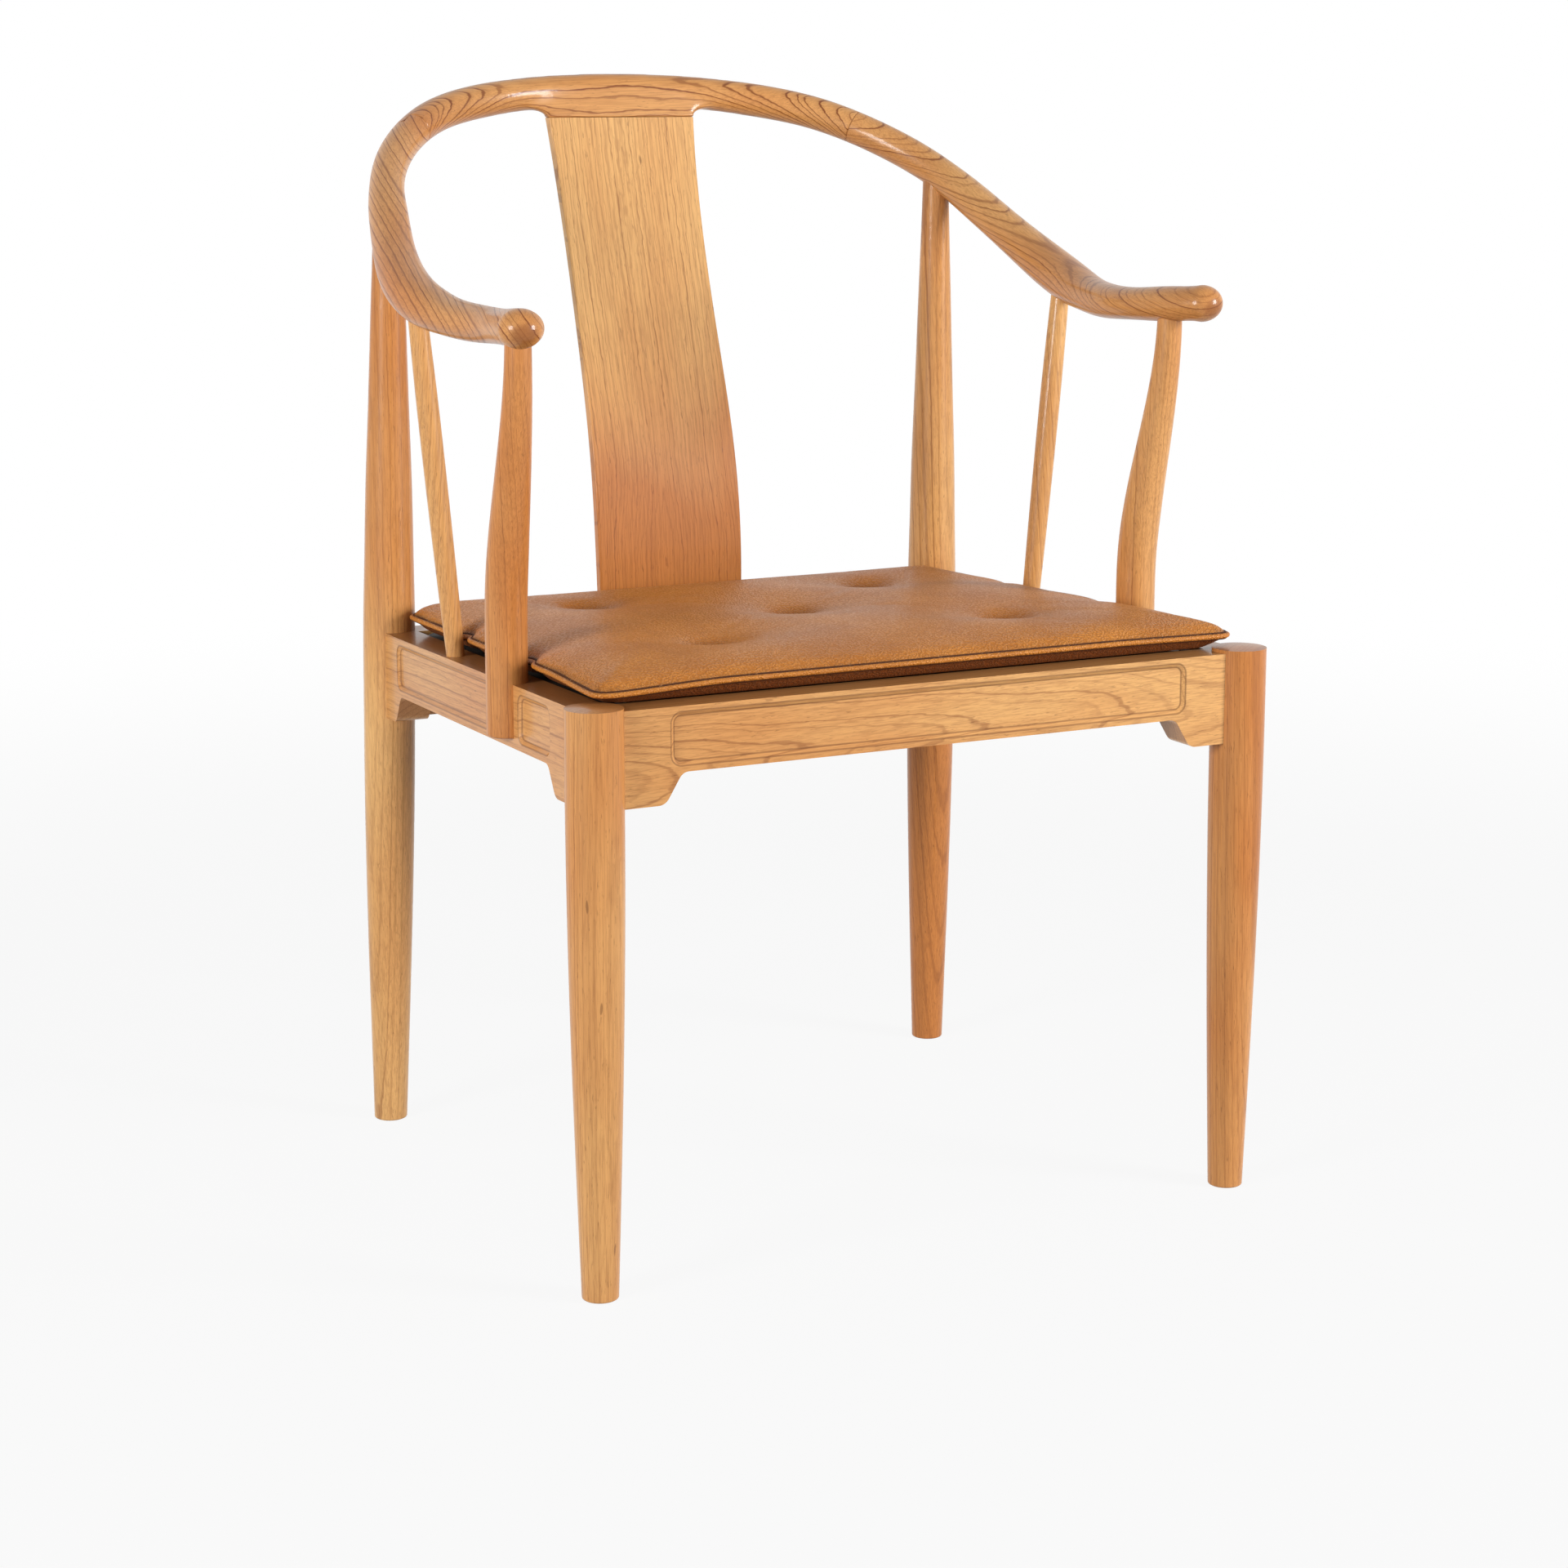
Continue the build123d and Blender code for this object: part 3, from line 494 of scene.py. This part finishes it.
def carveCrest():
    mesh = bmesh.new()
    mesh.from_mesh(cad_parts["crest_rail"].data)
    bmesh.ops.remove_doubles(mesh, verts=mesh.verts, dist=sameSpot)
    crest = bpy.data.objects.new("crest_carved", bpy.data.meshes.new("crest_carved"))
    mesh.to_mesh(crest.data)
    mesh.free()
    scene.collection.objects.link(crest)
    skin = crest.modifiers.new("skin", "REMESH")
    skin.mode = "VOXEL"
    skin.voxel_size = crestLook["voxel"]
    settle(crest)
    mesh = bmesh.new()
    mesh.from_mesh(crest.data)
    for step in range(crestLook["rounds"]):
        reach = crestLook["reach"] - step * crestLook["narrowing"]
        near = [v for v in mesh.verts if abs(v.co.x) < reach and v.co.z > crestLook["joint"]]
        bmesh.ops.smooth_vert(mesh, verts=near, factor=0.5, use_axis_x=True, use_axis_y=True, use_axis_z=True)
    mesh.to_mesh(crest.data)
    mesh.free()
    crest.data.shade_smooth()
    crest.data.materials.clear()
    crest.data.materials.append(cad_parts["crest_rail"].data.materials[0])
    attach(crest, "frame")
    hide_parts("crest_rail")
    print("crest carved:", len(crest.data.polygons), "faces")


carveCrest()


boardLook = {
    "face": tint(58, 46, 38),
    "grain": tint(40, 31, 26),
    "streak": (0.05, 320.0),  # how short along the board and how fine across
    "shows": (0.35, 0.65),
    "roughness": 0.6,
    "streakRough": 0.1,
    "bump": 0.2,
    "bumpDepth": 0.0003,
}
screwLook = {"metal": tint(196, 190, 178), "roughness": 0.3, "scuff": 0.2, "scuffScale": 900.0}


def makePlywood():
    finish = Finish(bpy.data.materials.new("dark_plywood"))
    place = finish.add("ShaderNodeTexCoord")["Object"]
    short, scale = boardLook["streak"]
    streak = finish.noise(finish.stretch(place, (short, 1, 1)), scale, 3.0)
    shown = finish.remap(streak, *boardLook["shows"])
    colour = finish.mixColour(shown, boardLook["face"], boardLook["grain"])
    values = {"Strength": boardLook["bump"], "Distance": boardLook["bumpDepth"], "Height": streak}
    bump = finish.add("ShaderNodeBump", {}, values)["Normal"]
    rough = boardLook["roughness"] + streak * boardLook["streakRough"]
    return finish.material({"Base Color": colour, "Roughness": rough, "Normal": bump})


def makeZinc():
    finish = Finish(bpy.data.materials.new("zinc_screw"))
    place = finish.add("ShaderNodeTexCoord")["Object"]
    scuff = finish.noise(place, screwLook["scuffScale"], 3.0)
    rough = screwLook["roughness"] + scuff * screwLook["scuff"]
    return finish.material({"Base Color": screwLook["metal"], "Metallic": 1.0, "Roughness": rough})


dress("seat_board", makePlywood())
zinc = makeZinc()
for name in ("block_screws", "board_screws"):
    dress(name, zinc)
print("board and screws done")


# a flat leather pad with corded edges and five pulled-in tufts
cushionLook = {
    # a point of the seat plane over the front legs, and how fast the plane falls to the back
    "planePoint": (0.0, -0.263, 0.408),
    "planeFall": 0.0257,
    "welt": 0.0125,
    "crown": 0.0255,  # before the filling swells
    "shoulder": 0.040,
    "doming": (2.4, 0.62),
    "underside": 0.0012,
    "band": 0.012,  # how far the boxing runs in from the welt to the underside
    "sag": 0.0035,  # how far the left front corner droops
    "rightSag": 0.35,  # and how much of that the right one does
    "cornerAcross": (0.15, 0.25),
    "cornerBack": 0.10,
    "cell": 0.0055,
    "firstCell": 0.37,
    "nearCut": 1e-5,
    "edgeStep": 0.003,
    "edgePoint": 4e-4,  # points of the outline that lie closer than this are one
    "sewn": 2e-5,  # and points of the two sheets
    "easing": 14,
    "seamReach": 0.0024,
    "lowBy": 0.0004,  # what lies this far below the welt is boxing
    "legAcross": 0.257,
    "legClear": 0.0215,
    "legFar": 0.026,
    "legTop": 0.0053,
}
fillingLook = {
    "quality": 6,
    "mass": 0.3,
    "tension": 12,
    "shear": 5,
    "bending": 0.6,
    "pressure": 4.0,
    "frames": 20,
    "rise": 0.008,  # how far a point may move as the filling swells
}
tuftLook = {
    "places": [(-0.122, 0.318), (0.122, 0.318), (0.0, 0.212), (-0.122, 0.106), (0.122, 0.106)],
    "depth": 0.0125,
    "reach": 0.019,
    "knot": 0.005,
    "topFrom": 0.004,  # how far over the welt the upper face begins
    "shade": 0.0145,  # how far the painted shade reaches round each tuft
}
leatherLook = {
    "tan": tint(212, 137, 56),
    "deep": tint(152, 84, 26),
    # painted shade: the near-black colour of the crevices along the piping
    "seam": tint(38, 19, 10),
    # painted shade for the boxing below the welt
    "band": tint(116, 66, 38),
    "fold": tint(92, 38, 16),
    "drift": 0.0022,  # how far the pebbles are pushed out of round
    "driftScale": 190.0,
    "pebbles": 600.0,
    "pebbleSoft": 0.30,
    "valley": (0.30, 0.68),
    "valleyDepth": 0.42,
    "fineScale": 1400.0,
    "fineHeight": 0.12,
    "cloudScale": 15.0,
    "cloud": (0.35, 0.65),
    "cloudDepth": 0.35,
    "foldDepth": 0.95,
    "roughness": 0.29,
    "valleyRough": 0.18,
    "fineRough": 0.06,
    "bump": 0.8,
    "bumpDepth": 0.0006,
    "gloss": 0.28,
}
furrowLook = {"scale": 700.0, "shade": 0.7, "roughness": 0.7, "gloss": 0.2}


def makeLeather():
    finish = Finish(bpy.data.materials.new("tan_leather"))
    place = finish.add("ShaderNodeTexCoord")["Object"]
    values = {"Vector": place, "Scale": leatherLook["driftScale"], "Detail": 2.0}
    drift = finish.add("ShaderNodeTexNoise", {}, values)["Color"]
    values = {0: drift, 1: (leatherLook["drift"],) * 3, 2: place}
    bent = finish.add("ShaderNodeVectorMath", {"operation": "MULTIPLY_ADD"}, values)["Vector"]
    values = {"Vector": bent, "Scale": leatherLook["pebbles"], "Smoothness": leatherLook["pebbleSoft"]}
    pebble = finish.add("ShaderNodeTexVoronoi", {"feature": "SMOOTH_F1"}, values)["Distance"]
    fine = finish.noise(place, leatherLook["fineScale"])
    cloud = finish.noise(place, leatherLook["cloudScale"], 3.0)
    cloud = finish.remap(cloud, *leatherLook["cloud"], 0.0, leatherLook["cloudDepth"])
    seam, under, fold = [finish.add("ShaderNodeAttribute", {"attribute_name": mark})["Fac"]
                         for mark in ("seam", "under", "fold")]
    valley = finish.remap(pebble, *leatherLook["valley"])
    colour = finish.mixColour(cloud, leatherLook["tan"], leatherLook["deep"])
    # painted shade: the boxing below the welt is darkened, for the shade under the cushion's edge
    colour = finish.mixColour(under, colour, leatherLook["band"])
    colour = finish.mixColour(valley * leatherLook["valleyDepth"], colour, leatherLook["deep"])
    # painted shade in the hollow of each tuft
    colour = finish.mixColour(fold * leatherLook["foldDepth"], colour, leatherLook["fold"])
    # painted shade along the welt's seams
    colour = finish.mixColour(seam, colour, leatherLook["seam"])
    rough = leatherLook["roughness"] + valley * leatherLook["valleyRough"] + fine * leatherLook["fineRough"]
    values = {"Strength": leatherLook["bump"], "Distance": leatherLook["bumpDepth"],
              "Height": fine * leatherLook["fineHeight"] - valley}
    bump = finish.add("ShaderNodeBump", {}, values)["Normal"]
    return finish.material({"Base Color": colour, "Roughness": rough, "Normal": bump,
                            "Specular IOR Level": leatherLook["gloss"]})


# painted shade: the near-black colour of the cords lying in the furrows beside the piping
def makeFurrow():
    finish = Finish(bpy.data.materials.new("shaded_seam"))
    place = finish.add("ShaderNodeTexCoord")["Object"]
    mottle = finish.noise(place, furrowLook["scale"])
    colour = finish.mixColour(mottle, leatherLook["seam"], leatherLook["deep"])
    colour = finish.mixColour(furrowLook["shade"], colour, leatherLook["seam"])
    return finish.material({"Base Color": colour, "Roughness": furrowLook["roughness"],
                            "Specular IOR Level": furrowLook["gloss"]})


def planeHeight(y):
    front = cushionLook["planePoint"]
    return front[2] - (y - front[1]) * cushionLook["planeFall"]


def ease(value, low, high):
    step = min(max((value - low) / (high - low), 0.0), 1.0)
    return step * step * (3 - 2 * step)


def cutAlong(mesh, point, normal, reach, **sides):
    whole = mesh.verts[:] + mesh.edges[:] + mesh.faces[:]
    bmesh.ops.bisect_plane(mesh, geom=whole, dist=reach, plane_co=point, plane_no=normal, **sides)


def weltLine():
    # the widest line of the plain seat block, with its sharp points eased
    mesh = bmesh.new()
    mesh.from_mesh(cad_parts["seat_cushion"].data)
    bmesh.ops.remove_doubles(mesh, verts=mesh.verts, dist=sameSpot)
    normal = Vector((0, cushionLook["planeFall"], 1)).normalized()
    point = Vector(cushionLook["planePoint"]) + normal * cushionLook["welt"]
    cutAlong(mesh, point, normal, sameSpot, clear_inner=True, clear_outer=True)
    loose = [v for v in mesh.verts if not v.link_edges]
    bmesh.ops.delete(mesh, geom=loose, context="VERTS")
    bmesh.ops.remove_doubles(mesh, verts=mesh.verts, dist=cushionLook["edgePoint"])
    for edge in list(mesh.edges):
        parts = int(edge.calc_length() / cushionLook["edgeStep"])
        if parts:
            bmesh.ops.subdivide_edges(mesh, edges=[edge], cuts=parts)
    for _ in range(cushionLook["easing"]):
        bmesh.ops.smooth_vert(mesh, verts=mesh.verts, factor=0.5, use_axis_x=True, use_axis_y=True)
    return mesh


def weltRise(x, y):
    # the welt hangs a little at the front corners
    back = y - cushionLook["planePoint"][1]
    corner = ease(abs(x), *cushionLook["cornerAcross"]) * (1 - ease(back, 0.0, cushionLook["cornerBack"]))
    side = 1.0 if x < 0 else cushionLook["rightSag"]
    return cushionLook["welt"] - cushionLook["sag"] * corner * side


def findRim(edge):  # the outline seen from above, to measure the way to it
    rim = kdtree.KDTree(len(edge))
    for index, co in enumerate(edge):
        rim.insert((co.x, co.y, 0), index)
    rim.balance()
    return rim


def shapeSheet(mesh, rim, topSide):
    front = cushionLook["planePoint"][1]
    legs = [Vector((across, front)) for across in (-cushionLook["legAcross"], cushionLook["legAcross"])]
    bulge, shoulder = cushionLook["doming"]
    for vertex in mesh.verts:
        x, y = vertex.co.x, vertex.co.y
        near = rim.find((x, y, 0))[2]
        welt = weltRise(x, y)
        if topSide:
            share = min(near / cushionLook["shoulder"], 1.0)
            high = welt + cushionLook["crown"] - cushionLook["welt"]
            height = welt + (high - welt) * (1 - (1 - share) ** bulge) ** shoulder
        else:
            height = welt + (cushionLook["underside"] - welt) * min(near / cushionLook["band"], 1.0)
            toLeg = min((Vector((x, y)) - leg).length for leg in legs)
            clear = 1 - ease(toLeg, cushionLook["legClear"], cushionLook["legFar"])
            height = max(height, cushionLook["legTop"] * clear)
        vertex.co.z = planeHeight(y) + height


def makeSheet(line, rim, topSide):
    mesh = line.copy()
    spots = [v.co.copy() for v in mesh.verts]
    bmesh.ops.edgeloop_fill(mesh, edges=mesh.edges)
    low = Vector((min(c.x for c in spots), min(c.y for c in spots), 0))
    high = Vector((max(c.x for c in spots), max(c.y for c in spots), 0))
    cell = cushionLook["cell"]
    for axis, normal in ((0, (1, 0, 0)), (1, (0, 1, 0))):
        for step in range(1, int((high[axis] - low[axis]) / cell)):
            point = low.copy()
            point[axis] += (step + cushionLook["firstCell"]) * cell
            cutAlong(mesh, point, normal, cushionLook["nearCut"])
    shapeSheet(mesh, rim, topSide)
    for face in mesh.faces:
        face.smooth = True
        if (face.normal.z > 0) != topSide:
            face.normal_flip()
    return mesh


def joinSheets(top, under):
    cover = bpy.data.meshes.new("cushion_cover")
    top.to_mesh(cover)
    second = bpy.data.meshes.new("underside")
    under.to_mesh(second)
    both = bmesh.new()
    both.from_mesh(cover)
    both.from_mesh(second)
    bmesh.ops.remove_doubles(both, verts=both.verts, dist=cushionLook["sewn"])
    bmesh.ops.recalc_face_normals(both, faces=both.faces)
    both.to_mesh(cover)
    both.free()
    bpy.data.meshes.remove(second)
    piece = bpy.data.objects.new("cushion_cover", cover)
    scene.collection.objects.link(piece)
    return piece


def heightOver(co):
    return co.z - planeHeight(co.y)


def tuftSpots():
    return [Vector((x, cushionLook["planePoint"][1] + y)) for x, y in tuftLook["places"]]


def sewTufts(piece):
    # presses the tufts in and gathers what is held while the filling swells
    held = []
    tufts = tuftSpots()
    for vertex in piece.data.vertices:
        flat = Vector(vertex.co[:2])
        near = min((flat - tuft).length for tuft in tufts)
        onTop = heightOver(vertex.co) > cushionLook["welt"] + tuftLook["topFrom"]
        if onTop:
            vertex.co.z -= tuftLook["depth"] * math.exp(-(near / tuftLook["reach"]) ** 2)
        if not onTop or near < tuftLook["knot"]:
            held.append(vertex.index)
    return held


def swell(piece, held):
    still = piece.vertex_groups.new(name="still")
    still.add(held, 1.0, "REPLACE")
    start = [vertex.co.copy() for vertex in piece.data.vertices]
    cloth = piece.modifiers.new("swell", "CLOTH")
    cloth.settings.quality = fillingLook["quality"]
    cloth.settings.mass = fillingLook["mass"]
    cloth.settings.tension_stiffness = fillingLook["tension"]
    cloth.settings.compression_stiffness = fillingLook["tension"]
    cloth.settings.shear_stiffness = fillingLook["shear"]
    cloth.settings.bending_stiffness = fillingLook["bending"]
    cloth.settings.use_pressure = True
    cloth.settings.uniform_pressure_force = fillingLook["pressure"]
    cloth.settings.effector_weights.gravity = 0
    cloth.settings.vertex_group_mass = "still"
    cloth.point_cache.frame_start = 1
    cloth.point_cache.frame_end = fillingLook["frames"]
    for number in range(1, fillingLook["frames"] + 1):
        scene.frame_set(number)
    settle(piece)
    moves = []
    for vertex, before in zip(piece.data.vertices, start):
        moved = vertex.co - before
        moves.append(moved.length)
        if moved.length > fillingLook["rise"]:
            vertex.co = before + moved.normalized() * fillingLook["rise"]
    scene.frame_set(1)
    print("filling swelled by up to", round(max(moves) * 1000, 1), "mm")


def markPaintedShade(piece, rim):
    # how near each point is to the welt, whether it lies below it, and how deep it is in a tuft, as masks for
    # painted shade
    seam, under, fold = [piece.data.attributes.new(mark, "FLOAT", "POINT")
                         for mark in ("seam", "under", "fold")]
    tufts = tuftSpots()
    for vertex in piece.data.vertices:
        x, y = vertex.co[:2]
        near = rim.find((x, y, 0))[2]
        low = heightOver(vertex.co) < weltRise(x, y) - cushionLook["lowBy"]
        toTuft = min((Vector((x, y)) - tuft).length for tuft in tufts)
        seam.data[vertex.index].value = math.exp(-(near / cushionLook["seamReach"]) ** 4)
        under.data[vertex.index].value = 1.0 if low else 0.0
        fold.data[vertex.index].value = 0.0 if low else math.exp(-(toTuft / tuftLook["shade"]) ** 2)


def makeCover(line):
    rim = findRim([v.co.copy() for v in line.verts])
    top = makeSheet(line, rim, True)
    under = makeSheet(line, rim, False)
    cover = joinSheets(top, under)
    top.free()
    under.free()
    held = sewTufts(cover)
    swell(cover, held)
    smooth = cover.modifiers.new("smooth", "SUBSURF")
    smooth.levels = 1
    smooth.render_levels = 1
    settle(cover)
    cover.data.shade_smooth()
    markPaintedShade(cover, rim)
    return cover


def walkRound(line):  # the points of the welt in order, each with its way in towards the filling
    line.verts.ensure_lookup_table()
    order, edge = [line.verts[0]], line.verts[0].link_edges[0]
    while edge.other_vert(order[-1]) is not order[0]:
        order.append(edge.other_vert(order[-1]))
        edge = [e for e in order[-1].link_edges if e is not edge][0]
    spots = [Vector(v.co[:2]) for v in order]
    turns = sum(a.x * b.y - a.y * b.x for a, b in zip(spots, spots[1:] + spots[:1]))
    side = 1 if turns > 0 else -1
    ways = []
    for index in range(len(spots)):
        run = (spots[(index + 1) % len(spots)] - spots[index - 1]).normalized()
        ways.append(Vector((-run.y, run.x)) * side)
    return list(zip(spots, ways))


cordRounding = 3  # how finely a cord's round section is divided


def makeCord(name, walk, look):
    cord = bpy.data.curves.new(name, "CURVE")
    cord.dimensions = "3D"
    cord.bevel_depth = look["radius"]
    cord.bevel_resolution = cordRounding
    run = cord.splines.new("POLY")
    run.points.add(len(walk) - 1)
    for point, (spot, way) in zip(run.points, walk):
        x, y = spot + way * look["inset"]
        point.co = (x, y, planeHeight(y) + weltRise(spot.x, spot.y) + look["rise"], 1)
    run.use_cyclic_u = True
    holder = bpy.data.objects.new(name, cord)
    scene.collection.objects.link(holder)
    graph = bpy.context.evaluated_depsgraph_get()
    mesh = bpy.data.meshes.new_from_object(holder.evaluated_get(graph))
    bpy.data.objects.remove(holder)
    piece = bpy.data.objects.new(name, mesh)
    scene.collection.objects.link(piece)
    piece.data.shade_smooth()
    return piece


# the piping, and over and under it thin dark cords that paint the shade in its stitched furrows
cordLook = {
    "cushion_piping": {"radius": 0.0018, "inset": 0.0, "rise": 0.0},
    "seam_over_piping": {"radius": 0.0009, "inset": 0.0016, "rise": 0.0018},
    "seam_under_piping": {"radius": 0.0009, "inset": 0.0012, "rise": -0.0019},
}
leather = makeLeather()
furrow = makeFurrow()
welt = weltLine()
cover = makeCover(welt)
walk = walkRound(welt)
cords = [makeCord(name, walk, look) for name, look in cordLook.items()]
welt.free()
for piece in [cover] + cords:
    piece.data.materials.clear()
    piece.data.materials.append(furrow if piece.name.startswith("seam") else leather)
    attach(piece, "cushion")
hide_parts("seat_cushion")
print("cushion sewn:", len(cover.data.polygons), "faces")
